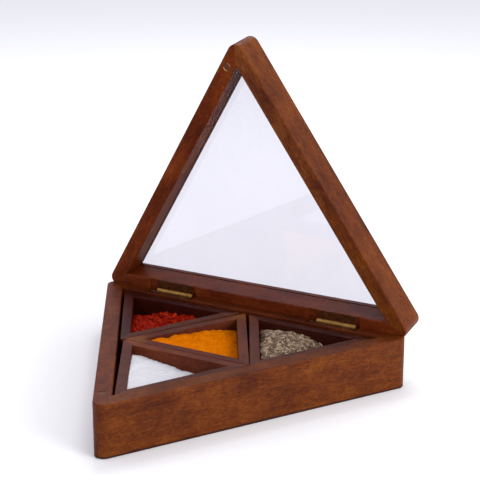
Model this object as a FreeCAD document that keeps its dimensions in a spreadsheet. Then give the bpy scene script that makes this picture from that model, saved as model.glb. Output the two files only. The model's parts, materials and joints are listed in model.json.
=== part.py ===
import FreeCAD, Part
import math
import os
import Sketcher

# A triangular wooden spice box: a mitred base holding four small triangular trays of spice,
# closed by a mitred lid with a glass pane, on two brass butt hinges.
# Millimetres. +Z is up. The origin is on the underside, at the centre of the plan triangle's
# incircle. The hinged side is the back, towards +Y, and the sharp corner points along -Y.
# The lid stands open, as far as its bevelled back edge lets it.

doc = FreeCAD.newDocument("spice_box")

# Driving dimensions: alias, value, meaning.
DIMENSIONS = [
    ("box_width", 260.0, "hinged side of the plan triangle, sharp corner to sharp corner"),
    ("box_depth", 211.0, "hinged side to the opposite sharp corner"),
    ("base_height", 37.6, "height of the base walls"),
    ("base_wall", 12.0, "thickness of the base walls"),
    ("lid_height", 24.4, "height of the lid rails"),
    ("lid_wall", 11.4, "thickness of the lid rails"),
    ("corner_radius", 6.5, "sanded radius of the three upright corners"),
    ("arris_radius", 0.9, "softened long edges of the box"),
    ("panel_thickness", 4.0, "bottom panel"),
    ("panel_rebate", 5.0, "rebate of the bottom panel into the walls"),
    ("axis_inset", 3.0, "hinge axis in from the back face"),
    ("axis_drop", 0.3, "hinge axis below the base rim"),
    ("rim_gap", 0.3, "gap between the two rims when the lid is closed"),
    ("open_angle", 83.0, "lid angle at its stop"),
    ("bevel_angle", 42.0, "slope of each back bevel from the rim"),
    ("glass_level", 18.0, "lid rim to the glass groove"),
    ("groove_width", 2.2, "glass groove, across"),
    ("groove_depth", 4.0, "glass groove, into the rail"),
    ("glass_thickness", 2.0, "pane thickness"),
    ("glass_play", 0.3, "pane edge to the bottom of its groove"),
    ("hinge_centre", 68.4, "middle of each hinge mortise from the middle of the box"),
    ("hinge_shift", 2.7, "both hinges sit this far to the right in their mortises"),
    ("hinge_length", 30.8, "leaf length"),
    ("leaf_width", 8.0, "hinge axis to the free edge of a leaf"),
    ("leaf_thickness", 1.2, "brass sheet"),
    ("leaf_rise", 0.15, "hinge axis to the inner face of each closed leaf"),
    ("knuckle_radius", 2.2, "outside of the barrel"),
    ("knuckle_length", 10.1, "each of the two outer knuckles"),
    ("knuckle_gap", 0.2, "end play between knuckles"),
    ("knuckle_clear", 0.4, "air round the barrel"),
    ("pin_radius", 1.0, "hinge pin"),
    ("pin_play", 0.05, "running clearance of the pin"),
    ("mortise_length", 42.0, "cut for one hinge, longer than the hinge"),
    ("mortise_play", 0.3, "free edge of a leaf to the end of its mortise"),
    ("screw_spacing", 18.0, "between the two screws of a leaf"),
    ("screw_inset", 5.0, "hinge axis to the screws"),
    ("screw_head", 2.3, "radius of a countersunk head"),
    ("screw_shank", 1.1, "radius of a shank"),
    ("screw_length", 9.0, "shank below the leaf"),
    ("screw_play", 0.05, "hole radius over the screw radius"),
    ("screw_slot", 0.6, "width of the driver slot"),
    ("slot_depth", 0.4, "depth of the driver slot"),
    ("magnet_radius", 3.0, "catch magnets"),
    ("magnet_thickness", 3.0, "catch magnets"),
    ("magnet_inset", 5.5, "magnet centre in from the outer face"),
    ("magnet_from_tip", 23.2, "magnet centre from the front sharp corner, along the left side"),
    ("magnet_sink", 0.3, "magnet face below the rim it is let into"),
    ("tray_width", 101.0, "outside length of a tray's three equal walls, to their sharp corners"),
    ("tray_wall", 7.0, "tray wall thickness"),
    ("tray_floor", 3.0, "tray bottom thickness"),
    ("tray_drop", 1.8, "tray rim below the base rim"),
    ("tray_corner", 1.2, "upright corners of a tray"),
    ("tray_arris", 0.5, "softened top edges of a tray"),
    ("left_tray_x", -53.2, "middle of the left tray, from the middle of the box"),
    ("left_tray_y", 29.85, "the same, towards the hinged side"),
    ("left_tray_turn", 1.5, "how far it has swung anticlockwise, in degrees"),
    ("centre_tray_x", 0.5, "middle of the centre tray"),
    ("centre_tray_y", 2.9, "the same, towards the hinged side"),
    ("centre_tray_turn", 180.0, "it points the other way"),
    ("right_tray_x", 53.6, "middle of the right tray"),
    ("right_tray_y", 30.15, "the same, towards the hinged side"),
    ("right_tray_turn", -1.1, "how far it has swung anticlockwise, in degrees"),
    ("front_tray_x", 0.5, "middle of the front tray"),
    ("front_tray_y", -55.8, "the same, towards the hinged side"),
    ("front_tray_turn", 0.0, "how far it has swung anticlockwise, in degrees"),
    ("chilli_left", 27.0, "chilli level at the left of its tray"),
    ("chilli_right", 26.0, "chilli level at the right of its tray"),
    ("turmeric_left", 33.0, "turmeric level at the left of its tray"),
    ("turmeric_right", 25.0, "turmeric level at the right of its tray"),
    ("cumin_left", 31.5, "cumin level at the left of its tray"),
    ("cumin_right", 24.5, "cumin level at the right of its tray"),
    ("salt_left", 31.0, "salt level at the left of its tray"),
    ("salt_right", 22.0, "salt level at the right of its tray"),
]

sheet = doc.addObject("Spreadsheet::Sheet", "Sizes")
for row, (alias, size, meaning) in enumerate(DIMENSIONS, start=1):
    sheet.set(f"A{row}", meaning)
    sheet.set(f"B{row}", str(size))
    sheet.setAlias(f"B{row}", alias)
doc.recompute()

# Sizes that follow from the driving ones.
FOLLOWING = [
    ("side_length", "sqrt((Sizes.box_width / 2)^2 + Sizes.box_depth^2)"),
    ("inradius", "Sizes.box_width * Sizes.box_depth / (Sizes.box_width + 2 * Derived.side_length)"),
    # cotangent of the mitre angle, half the corner, at the back corners and at the front one
    ("back_cot", "Sizes.box_width / 2 / Derived.inradius"),
    ("front_cot", "(Derived.side_length - Sizes.box_width / 2) / Derived.inradius"),
    ("bevel_slope", "tan(Sizes.bevel_angle * 1 deg)"),
    ("tray_depth", "Sizes.tray_width * sqrt(3) / 2"),
    ("tray_inradius", "Derived.tray_depth / 3"),
    ("tray_cot", "sqrt(3)"),
    ("tray_height", "Sizes.base_height - Sizes.tray_drop - Sizes.panel_thickness"),
    ("mortise_depth_y", "Sizes.axis_inset + Sizes.leaf_width + Sizes.mortise_play"),
    ("slot_reach", "Sizes.knuckle_radius + Sizes.knuckle_clear"),
]
derived = doc.addObject("App::VarSet", "Derived")
for name, formula in FOLLOWING:
    derived.addProperty("App::PropertyFloat", name)
    derived.setExpression(name, formula)
    doc.recompute()

X_AXIS = FreeCAD.Vector(1, 0, 0)
Y_AXIS = FreeCAD.Vector(0, 1, 0)
Z_AXIS = FreeCAD.Vector(0, 0, 1)
MARGIN = 2.0  # how far a cutting outline overshoots the piece it cuts
SCREW_END_GAP = 0.5  # air left under the tip of each screw
HEAP_CUT_TOP = 10.0  # the slope's cut runs on above the heap, so that it clears it

parts = []
cuts = []


def number(formula):
    """The present value of an expression over the sheet."""
    return float(sheet.evalExpression(formula))


def vector(x=0.0, y=0.0, z=0.0):
    return FreeCAD.Vector(x, y, z)


def turned(angle, axis=Z_AXIS):
    return FreeCAD.Rotation(axis, angle)


def name_part(feature, label, placement=None):
    """Make a feature one of the pieces of the box, and put it in its place."""
    feature.Label = label
    if feature.Label != label:
        raise RuntimeError(f"the name {label} is taken")
    if placement is not None:
        feature.Placement = placement
    parts.append(feature)
    return feature


def sketch_on(body, role, name, lift=None):
    """A sketch on one of the body's own planes, raised along the plane's normal."""
    plane = next(p for p in body.Origin.OriginFeatures if p.Role == role)
    sketch = body.newObject("Sketcher::SketchObject", name)
    sketch.AttachmentSupport = [(plane, "")]
    sketch.MapMode = "FlatFace"
    if lift:
        sketch.setExpression("AttachmentOffset.Base.z", lift)
    return sketch


def pin_point(sketch, curve, end, x=None, y=None):
    """Tie a point of a sketch to expressions for its x and y."""
    for kind, formula, axis in (("DistanceX", x, -2), ("DistanceY", y, -1)):
        if formula is None:
            continue
        if formula == "0":
            sketch.addConstraint(Sketcher.Constraint("PointOnObject", curve, end, axis))
            continue
        here = number(formula)
        index = sketch.addConstraint(Sketcher.Constraint(kind, -1, 1, curve, end, here))
        sketch.setExpression(f"Constraints[{index}]", formula)


def polygon(sketch, corners):
    """A closed outline of straight lines through corners given as pairs of expressions."""
    points = [vector(number(x), number(y)) for x, y in corners]
    count = len(points)
    for i in range(count):
        sketch.addGeometry(Part.LineSegment(points[i], points[(i + 1) % count]))
    for i in range(count):
        sketch.addConstraint(Sketcher.Constraint("Coincident", i, 2, (i + 1) % count, 1))
        pin_point(sketch, i, 1, *corners[i])


def rectangle(sketch, x1, y1, x2, y2):
    polygon(sketch, [(x1, y1), (x2, y1), (x2, y2), (x1, y2)])


def circles(sketch, centres, radius):
    for x, y in centres:
        middle = vector(number(x), number(y))
        index = sketch.addGeometry(Part.Circle(middle, Z_AXIS, number(radius)))
        pin_point(sketch, index, 3, x, y)
        tie = sketch.addConstraint(Sketcher.Constraint("Radius", index, number(radius)))
        sketch.setExpression(f"Constraints[{tie}]", radius)


def pad(body, sketch, height):
    feature = body.newObject("PartDesign::Pad", "Pad")
    feature.Profile = sketch
    feature.setExpression("Length", height)
    sketch.Visibility = False
    doc.recompute()
    return feature


def pocket(body, sketch, depth):
    """Cut along the sketch's own normal, which is into the piece everywhere here."""
    before = body.Tip
    feature = body.newObject("PartDesign::Pocket", "Pocket")
    feature.Profile = sketch
    feature.Reversed = True
    feature.setExpression("Length", depth)
    doc.recompute()
    cuts.append((before, feature))
    return feature


def round_edges(body, chosen, radius):
    """Round the edges of the body's tip that the test function picks."""
    base = body.Tip
    names = [f"Edge{i}" for i, edge in enumerate(base.Shape.Edges, start=1) if chosen(edge)]
    feature = body.newObject("PartDesign::Fillet", "Fillet")
    feature.Base = (base, names)
    feature.setExpression("Radius", radius)
    doc.recompute()
    return feature


def mitred_bar(name, length, thickness, height, start_cot, end_cot, corner):
    """A bar mitred at both ends, with its outer face on y = 0 and the mitres meeting y = 0
    at x = 0 and x = length. The arcs are its share of the rounded upright corners."""
    body = doc.addObject("PartDesign::Body", name)
    sketch = sketch_on(body, "XY_Plane", name + "_plan")
    span, deep, radius = number(length), number(thickness), number(corner)
    ends = []
    for cot in (start_cot, end_cot):
        slope = number(cot)
        hypotenuse = math.sqrt(1 + slope**2)
        mitre_y = radius * (1 - 1 / hypotenuse)
        ends.append((slope, math.atan2(1, slope), mitre_y))
    (cot1, angle1, y1), (cot2, angle2, y2) = ends
    tangent1 = vector(radius * cot1, 0)
    tangent2 = vector(span - radius * cot2, 0)
    centre1 = vector(radius * cot1, radius)
    centre2 = vector(span - radius * cot2, radius)
    mitre1 = vector(y1 * cot1, y1)
    mitre2 = vector(span - y2 * cot2, y2)
    inner1 = vector(deep * cot1, deep)
    inner2 = vector(span - deep * cot2, deep)
    half = math.pi / 2
    arc1 = Part.ArcOfCircle(Part.Circle(centre1, Z_AXIS, radius), 2 * half + angle1, 3 * half)
    arc2 = Part.ArcOfCircle(Part.Circle(centre2, Z_AXIS, radius), 3 * half, 4 * half - angle2)
    outline = [
        Part.LineSegment(tangent1, tangent2),
        arc2,
        Part.LineSegment(mitre2, inner2),
        Part.LineSegment(inner2, inner1),
        Part.LineSegment(inner1, mitre1),
        arc1,
    ]
    sketch.addGeometry(outline)
    for i in range(len(outline)):
        following = (i + 1) % len(outline)
        sketch.addConstraint(Sketcher.Constraint("Coincident", i, 2, following, 1))
    rise = "{0} * (1 - 1 / sqrt(1 + {1}^2))"
    pin_point(sketch, 0, 1, f"{corner} * {start_cot}", "0")
    pin_point(sketch, 0, 2, f"{length} - {corner} * {end_cot}", "0")
    pin_point(sketch, 1, 3, f"{length} - {corner} * {end_cot}", corner)
    pin_point(sketch, 1, 2, None, rise.format(corner, end_cot))
    pin_point(sketch, 2, 2, f"{length} - {thickness} * {end_cot}", thickness)
    pin_point(sketch, 3, 2, f"{thickness} * {start_cot}", thickness)
    pin_point(sketch, 5, 3, f"{corner} * {start_cot}", corner)
    pin_point(sketch, 5, 1, None, rise.format(corner, start_cot))
    pad(body, sketch, height)
    return body


def soften(body, thickness, levels_outside, levels_inside, radius):
    """Round a bar's long edges at the given heights, on its outer and inner faces."""
    deep = number(thickness)

    def chosen(edge):
        ends = [v.Point for v in edge.Vertexes]
        level = ends[0].z
        if any(abs(p.z - level) > 1e-6 for p in ends):
            return False
        if all(abs(p.y - deep) < 1e-6 for p in ends):
            return any(abs(level - z) < 1e-6 for z in levels_inside)
        if all(p.y < deep * 0.6 for p in ends):
            return any(abs(level - z) < 1e-6 for z in levels_outside)
        return False

    round_edges(body, chosen, radius)


def cut_strip(body, name, length, y_from, y_to, z_from, depth):
    """Cut a straight strip along a whole bar, upwards from z_from."""
    sketch = sketch_on(body, "XY_Plane", name, z_from)
    rectangle(sketch, f"0 - {MARGIN}", y_from, f"{length} + {MARGIN}", y_to)
    pocket(body, sketch, depth)


def cut_profile(body, name, length, corners):
    """Cut a polygon of (y, z) corners along a whole bar."""
    sketch = sketch_on(body, "YZ_Plane", name)
    polygon(sketch, corners)
    pocket(body, sketch, length)


# The three sides of a mitred triangle, walked with the inside on the left:
# name, start corner, end corner.
SIDES = [
    ("back", "right_corner", "left_corner"),
    ("left", "left_corner", "front_corner"),
    ("right", "front_corner", "right_corner"),
]

# The two plan triangles. Each has its back side along x and its front corner towards -y.
BOX_PLAN = {
    "width": "Sizes.box_width",
    "depth": "Sizes.box_depth",
    "side": "Derived.side_length",
    "inradius": "Derived.inradius",
    "back_cot": "Derived.back_cot",
    "front_cot": "Derived.front_cot",
}
TRAY_PLAN = {
    "width": "Sizes.tray_width",
    "depth": "Derived.tray_depth",
    "side": "Sizes.tray_width",
    "inradius": "Derived.tray_inradius",
    "back_cot": "Derived.tray_cot",
    "front_cot": "Derived.tray_cot",
}


def corner_points(plan):
    """A plan triangle's sharp corners, measured from its incentre."""
    reach = number(plan["inradius"])
    half_width = number(plan["width"]) / 2
    front = reach - number(plan["depth"])
    return {
        "left_corner": vector(-half_width, reach),
        "right_corner": vector(half_width, reach),
        "front_corner": vector(0, front),
    }


def side_placements(plan):
    """Where each side's bar goes: its start corner, turned along the side."""
    corners = corner_points(plan)
    places = {}
    for side, start, end in SIDES:
        run = corners[end] - corners[start]
        angle = math.degrees(math.atan2(run.y, run.x))
        places[side] = FreeCAD.Placement(corners[start], turned(angle))
    return places


def side_bars(names, thickness, height, corner, plan):
    """The three mitred bars of one triangle, each in its own frame, under the given names."""
    bars = {}
    for side, start, end in SIDES:
        length = plan["width"] if side == "back" else plan["side"]
        start_cot = plan["front_cot"] if start == "front_corner" else plan["back_cot"]
        end_cot = plan["front_cot"] if end == "front_corner" else plan["back_cot"]
        bars[side] = mitred_bar(
            names[side], length, thickness, height, start_cot, end_cot, corner
        )
    return bars


def triangle_plate(name, inset, thickness, plan):
    """A sharp triangle of sheet whose sides are inset from the plan triangle's."""
    body = doc.addObject("PartDesign::Body", name)
    sketch = sketch_on(body, "XY_Plane", name + "_plan")
    share = f"(1 - ({inset}) / {plan['inradius']})"
    back_y = f"{plan['inradius']} * {share}"
    corners = [
        (f"0 - {plan['width']} / 2 * {share}", back_y),
        ("0", f"({plan['inradius']} - {plan['depth']}) * {share}"),
        (f"{plan['width']} / 2 * {share}", back_y),
    ]
    polygon(sketch, corners)
    pad(body, sketch, thickness)
    return body


# ---- where the lid's hinge axis is, and how the lid stands open

HINGE_AXIS = vector(
    0,
    number("Derived.inradius - Sizes.axis_inset"),
    number("Sizes.base_height - Sizes.axis_drop"),
)
OPENING = FreeCAD.Placement(vector(), turned(number("Sizes.open_angle"), -X_AXIS), HINGE_AXIS)
LID_RIM = number("Sizes.base_height + Sizes.rim_gap")


def lid_place(closed):
    """The open position of a lid piece, from its closed one."""
    return OPENING.multiply(closed)


def raised(placement, height):
    return FreeCAD.Placement(vector(0, 0, height), FreeCAD.Rotation()).multiply(placement)


# Each bar's own x of a point that lies at a given x of the box, on the hinged side.
def along_back(x):
    return f"(Sizes.box_width / 2 - ({x}))"


MORTISES = {"left": "0 - Sizes.hinge_centre", "right": "Sizes.hinge_centre"}


def screw_centres(middle):
    """The two screws of one leaf, in a back bar's plan."""
    depth = "Sizes.axis_inset + Sizes.screw_inset"
    first = f"{along_back(middle + ' + Sizes.hinge_shift')} - Sizes.screw_spacing / 2"
    return [(first, depth), (first + " + Sizes.screw_spacing", depth)]


# ---- base

def make_base():
    names = {side: f"base_{side}_wall" for side, _, _ in SIDES}
    bars = side_bars(
        names, "Sizes.base_wall", "Sizes.base_height", "Sizes.corner_radius", BOX_PLAN
    )
    places = side_placements(BOX_PLAN)
    top = number("Sizes.base_height")
    for side, body in bars.items():
        length = "Sizes.box_width" if side == "back" else "Derived.side_length"
        soften(body, "Sizes.base_wall", [0, top], [top], "Sizes.arris_radius")
        cut_strip(
            body,
            f"base_{side}_rebate",
            length,
            "Sizes.base_wall - Sizes.panel_rebate",
            f"Sizes.base_wall + {MARGIN}",
            None,
            "Sizes.panel_thickness",
        )
    back = bars["back"]
    axis_z = "(Sizes.base_height - Sizes.axis_drop)"
    cut_profile(
        back,
        "base_bevel",
        "Sizes.box_width",
        [
            ("0", f"{axis_z} - Sizes.axis_inset * Derived.bevel_slope"),
            ("Sizes.axis_inset + Sizes.axis_drop / Derived.bevel_slope", "Sizes.base_height"),
            (f"0 - {MARGIN}", "Sizes.base_height"),
            (f"0 - {MARGIN}", f"{axis_z} - Sizes.axis_inset * Derived.bevel_slope"),
        ],
    )
    leaf_floor = f"{axis_z} - Sizes.leaf_rise - Sizes.leaf_thickness"
    for side, middle in MORTISES.items():
        centre = along_back(middle)
        ends = (f"{centre} - Sizes.mortise_length / 2", f"{centre} + Sizes.mortise_length / 2")
        sketch = sketch_on(back, "XY_Plane", f"base_{side}_mortise", leaf_floor)
        rectangle(sketch, ends[0], f"0 - {MARGIN}", ends[1], "Derived.mortise_depth_y")
        pocket(back, sketch, f"Sizes.base_height - ({leaf_floor})")
        sketch = sketch_on(
            back, "XY_Plane", f"base_{side}_barrel_slot", f"{axis_z} - Derived.slot_reach"
        )
        rectangle(
            sketch, ends[0], f"0 - {MARGIN}", ends[1], "Sizes.axis_inset + Derived.slot_reach"
        )
        pocket(back, sketch, "Sizes.axis_drop + Derived.slot_reach")
        hole_floor = f"{leaf_floor} - Sizes.screw_length"
        sketch = sketch_on(back, "XY_Plane", f"base_{side}_screw_holes", hole_floor)
        circles(sketch, screw_centres(middle), "Sizes.screw_shank + Sizes.screw_play")
        pocket(back, sketch, "Sizes.screw_length")
    magnet_floor = "Sizes.base_height - Sizes.magnet_sink - Sizes.magnet_thickness"
    sketch = sketch_on(bars["left"], "XY_Plane", "base_magnet_hole", magnet_floor)
    centre = ("Derived.side_length - Sizes.magnet_from_tip", "Sizes.magnet_inset")
    circles(sketch, [centre], "Sizes.magnet_radius")
    pocket(bars["left"], sketch, "Sizes.magnet_sink + Sizes.magnet_thickness")
    for side, body in bars.items():
        name_part(body, names[side], places[side])

    panel_inset = "Sizes.base_wall - Sizes.panel_rebate"
    panel = triangle_plate("base_bottom_panel", panel_inset, "Sizes.panel_thickness", BOX_PLAN)
    name_part(panel, "base_bottom_panel")


# ---- lid, made closed in its own frame and then turned open

def make_lid():
    names = {side: f"lid_{side}_rail" for side, _, _ in SIDES}
    bars = side_bars(
        names, "Sizes.lid_wall", "Sizes.lid_height", "Sizes.corner_radius", BOX_PLAN
    )
    places = side_placements(BOX_PLAN)
    top = number("Sizes.lid_height")
    for side, body in bars.items():
        length = "Sizes.box_width" if side == "back" else "Derived.side_length"
        soften(body, "Sizes.lid_wall", [0, top], [0, top], "Sizes.arris_radius")
        cut_strip(
            body,
            f"lid_{side}_groove",
            length,
            "Sizes.lid_wall - Sizes.groove_depth",
            f"Sizes.lid_wall + {MARGIN}",
            "Sizes.glass_level",
            "Sizes.groove_width",
        )
    back = bars["back"]
    above_axis = "(Sizes.axis_drop + Sizes.rim_gap)"
    cut_profile(
        back,
        "lid_bevel",
        "Sizes.box_width",
        [
            (f"0 - {MARGIN}", "0"),
            (f"Sizes.axis_inset - {above_axis} / Derived.bevel_slope", "0"),
            ("0", f"Sizes.axis_inset * Derived.bevel_slope - {above_axis}"),
            (f"0 - {MARGIN}", f"Sizes.axis_inset * Derived.bevel_slope - {above_axis}"),
        ],
    )
    leaf_depth = f"(Sizes.leaf_rise + Sizes.leaf_thickness - {above_axis})"
    for side, middle in MORTISES.items():
        centre = along_back(middle)
        ends = (f"{centre} - Sizes.mortise_length / 2", f"{centre} + Sizes.mortise_length / 2")
        sketch = sketch_on(back, "XY_Plane", f"lid_{side}_mortise")
        rectangle(sketch, ends[0], f"0 - {MARGIN}", ends[1], "Derived.mortise_depth_y")
        pocket(back, sketch, leaf_depth)
        sketch = sketch_on(back, "XY_Plane", f"lid_{side}_barrel_slot")
        rectangle(
            sketch, ends[0], f"0 - {MARGIN}", ends[1], "Sizes.axis_inset + Derived.slot_reach"
        )
        pocket(back, sketch, f"Derived.slot_reach - {above_axis}")
        sketch = sketch_on(back, "XY_Plane", f"lid_{side}_screw_holes", leaf_depth)
        circles(sketch, screw_centres(middle), "Sizes.screw_shank + Sizes.screw_play")
        pocket(back, sketch, "Sizes.screw_length")
    sketch = sketch_on(bars["left"], "XY_Plane", "lid_magnet_hole")
    centre = ("Derived.side_length - Sizes.magnet_from_tip", "Sizes.magnet_inset")
    circles(sketch, [centre], "Sizes.magnet_radius")
    pocket(bars["left"], sketch, "Sizes.magnet_sink + Sizes.magnet_thickness")
    for side, body in bars.items():
        name_part(body, names[side], lid_place(raised(places[side], LID_RIM)))

    inset = "Sizes.lid_wall - Sizes.groove_depth + Sizes.glass_play"
    pane = triangle_plate("lid_glass_pane", inset, "Sizes.glass_thickness", BOX_PLAN)
    play = number("(Sizes.groove_width - Sizes.glass_thickness) / 2")
    level = LID_RIM + number("Sizes.glass_level") + play
    name_part(pane, "lid_glass_pane", lid_place(raised(FreeCAD.Placement(), level)))


# ---- hinges, in a frame whose X runs along the hinge axis and whose -Y points into the box

def box(name, length, width, height, x, y, z):
    """A block with its lowest corner at x, y, z, all six given as expressions."""
    block = doc.addObject("Part::Box", name)
    for field, formula in (("Length", length), ("Width", width), ("Height", height)):
        block.setExpression(field, formula)
    for field, formula in (("x", x), ("y", y), ("z", z)):
        block.setExpression(f"Placement.Base.{field}", formula)
    return block


def rod(name, radius, length, x):
    """A round bar on the hinge axis, starting at x."""
    bar = doc.addObject("Part::Cylinder", name)
    bar.setExpression("Radius", radius)
    bar.setExpression("Height", length)
    bar.Placement = FreeCAD.Placement(vector(), turned(90, Y_AXIS))
    bar.setExpression("Placement.Base.x", x)
    return bar


def fused(name, shapes):
    union = doc.addObject("Part::MultiFuse", name)
    union.Shapes = shapes
    return union


def cut_away(name, base, tool):
    result = doc.addObject("Part::Cut", name)
    result.Base = base
    result.Tool = tool
    return result


def screw_hole(name, x, z, flare):
    """A countersunk hole through a leaf; flare is where the wide end looks, +1 up, -1 down."""
    cone = doc.addObject("Part::Cone", name)
    cone.setExpression("Radius1", "Sizes.screw_head + Sizes.screw_play")
    cone.setExpression("Radius2", "Sizes.screw_shank + Sizes.screw_play")
    cone.setExpression("Height", "Sizes.leaf_thickness")
    cone.Placement = FreeCAD.Placement(vector(), turned(180 if flare > 0 else 0, X_AXIS))
    cone.setExpression("Placement.Base.x", x)
    cone.setExpression("Placement.Base.y", "0 - Sizes.screw_inset")
    cone.setExpression("Placement.Base.z", z)
    return cone


def make_leaf(name, outer_knuckles, up):
    """One hinge leaf. up is +1 for the leaf above the axis when closed, -1 for the one below."""
    half = "Sizes.hinge_length / 2"
    inner_x = f"({half} - Sizes.knuckle_length)"
    middle_half = f"({inner_x} - Sizes.knuckle_gap)"
    low = "Sizes.leaf_rise" if up > 0 else "0 - Sizes.leaf_rise - Sizes.leaf_thickness"
    plate = box(
        name + "_plate",
        "Sizes.hinge_length",
        "Sizes.leaf_width",
        "Sizes.leaf_thickness",
        f"0 - {half}",
        "0 - Sizes.leaf_width",
        low,
    )
    ends = [("a", f"0 - {half}"), ("b", inner_x)]
    if outer_knuckles:
        notches = [("middle", f"0 - {inner_x}", f"2 * {inner_x}")]
        knuckles = [
            rod(f"{name}_knuckle_{tag}", "Sizes.knuckle_radius", "Sizes.knuckle_length", x)
            for tag, x in ends
        ]
    else:
        reach = "Sizes.knuckle_length + Sizes.knuckle_gap"
        starts = [("a", f"0 - {half}"), ("b", middle_half)]
        notches = [(tag, x, reach) for tag, x in starts]
        knuckles = [
            rod(
                name + "_knuckle",
                "Sizes.knuckle_radius",
                f"2 * {middle_half}",
                f"0 - {middle_half}",
            )
        ]
    notch_boxes = [
        box(
            f"{name}_notch_{tag}",
            span,
            f"Derived.slot_reach + {MARGIN}",
            f"Sizes.leaf_thickness + 2 * {MARGIN}",
            x,
            "0 - Derived.slot_reach",
            f"{low} - {MARGIN}",
        )
        for tag, x, span in notches
    ]
    notched = cut_away(name + "_notched", plate, fused(name + "_notches", notch_boxes)
                       if len(notch_boxes) > 1 else notch_boxes[0])
    joined = fused(name + "_joined", [notched] + knuckles)
    face = "Sizes.leaf_rise" if up > 0 else "0 - Sizes.leaf_rise"
    holes = [
        screw_hole(f"{name}_countersink_{tag}", x, face, -up)
        for tag, x in (("a", "0 - Sizes.screw_spacing / 2"), ("b", "Sizes.screw_spacing / 2"))
    ]
    bore = rod(
        name + "_bore",
        "Sizes.pin_radius + Sizes.pin_play",
        f"Sizes.hinge_length + 2 * {MARGIN}",
        f"0 - {half} - {MARGIN}",
    )
    return cut_away(name, joined, fused(name + "_holes", holes + [bore]))


def make_screw(name):
    """A countersunk wood screw, threads left out, with its head's face at the origin and
    its shank pointing up."""
    head = doc.addObject("Part::Cone", name + "_head")
    head.setExpression("Radius1", "Sizes.screw_head")
    head.setExpression("Radius2", "Sizes.screw_shank")
    head.setExpression("Height", "Sizes.leaf_thickness")
    shank = doc.addObject("Part::Cylinder", name + "_shank")
    shank.setExpression("Radius", "Sizes.screw_shank")
    shank.setExpression("Height", f"Sizes.leaf_thickness + Sizes.screw_length - {SCREW_END_GAP}")
    slot = box(
        name + "_slot",
        f"2 * Sizes.screw_head + {MARGIN}",
        "Sizes.screw_slot",
        "Sizes.slot_depth",
        f"0 - Sizes.screw_head - {MARGIN} / 2",
        "0 - Sizes.screw_slot / 2",
        "0",
    )
    return cut_away(name, fused(name + "_blank", [head, shank]), slot)


def make_hinges():
    for side, sign in (("left", -1), ("right", 1)):
        x = sign * number("Sizes.hinge_centre") + number("Sizes.hinge_shift")
        here = FreeCAD.Placement(HINGE_AXIS + vector(x), FreeCAD.Rotation())
        base_leaf = make_leaf(f"hinge_{side}_base_leaf", True, -1)
        name_part(base_leaf, f"hinge_{side}_base_leaf", here)
        lid_leaf = make_leaf(f"hinge_{side}_lid_leaf", False, 1)
        name_part(lid_leaf, f"hinge_{side}_lid_leaf", lid_place(here))
        pin = doc.addObject("Part::Cylinder", f"hinge_{side}_pin")
        pin.setExpression("Radius", "Sizes.pin_radius")
        pin.setExpression("Height", "Sizes.hinge_length")
        start = here.Base - vector(number("Sizes.hinge_length / 2"))
        name_part(pin, f"hinge_{side}_pin", FreeCAD.Placement(start, turned(90, Y_AXIS)))

    # eight equal screws: four down into the base, four up into the lid
    for owner, up in (("base", -1), ("lid", 1)):
        group = []
        for side, sign in (("left", -1), ("right", 1)):
            for end in (-1, 1):
                screw = make_screw(f"{owner}_screw_{side}_{'a' if end < 0 else 'b'}")
                x = sign * number("Sizes.hinge_centre") + number("Sizes.hinge_shift")
                x += end * number("Sizes.screw_spacing / 2")
                offset = vector(
                    x, -number("Sizes.screw_inset"), up * number("Sizes.leaf_rise")
                )
                turn = turned(0 if up > 0 else 180, X_AXIS)
                closed = FreeCAD.Placement(HINGE_AXIS + offset, turn)
                screw.Placement = lid_place(closed) if up > 0 else closed
                group.append(screw)
        compound = doc.addObject("Part::Compound", f"{owner}_hinge_screws")
        compound.Links = group
        name_part(compound, f"{owner}_hinge_screws")


def make_magnets():
    """Two disc magnets that meet when the lid is shut, beside the front corner."""
    left = side_placements(BOX_PLAN)["left"]
    along = number("Derived.side_length - Sizes.magnet_from_tip")
    plan = vector(along, number("Sizes.magnet_inset"))
    thick = number("Sizes.magnet_thickness")
    sink = number("Sizes.magnet_sink")
    base_level = number("Sizes.base_height") - sink - thick
    for owner, level in (("base", base_level), ("lid", LID_RIM + sink)):
        disc = doc.addObject("Part::Cylinder", f"{owner}_magnet")
        disc.setExpression("Radius", "Sizes.magnet_radius")
        disc.setExpression("Height", "Sizes.magnet_thickness")
        closed = raised(FreeCAD.Placement(left.multVec(plan), FreeCAD.Rotation()), level)
        name_part(disc, f"{owner}_magnet", lid_place(closed) if owner == "lid" else closed)


# ---- trays

def tray_places():
    """The middle of each tray on the bottom panel, and how it is turned. The rear two lie
    close to the hinged side, the centre one between them points the other way, and the
    front one stands in front of it."""
    places = {}
    for tray in ("left", "centre", "right", "front"):
        middle = vector(number(f"Sizes.{tray}_tray_x"), number(f"Sizes.{tray}_tray_y"))
        places[tray] = FreeCAD.Placement(middle, turned(number(f"Sizes.{tray}_tray_turn")))
    return places


CONTENTS = {"left": "chilli", "centre": "turmeric", "right": "cumin", "front": "salt"}
# The centre tray is turned half round, so each of its walls faces the other way.
TURNED_SIDES = {"back": "front", "left": "right", "right": "left"}


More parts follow.
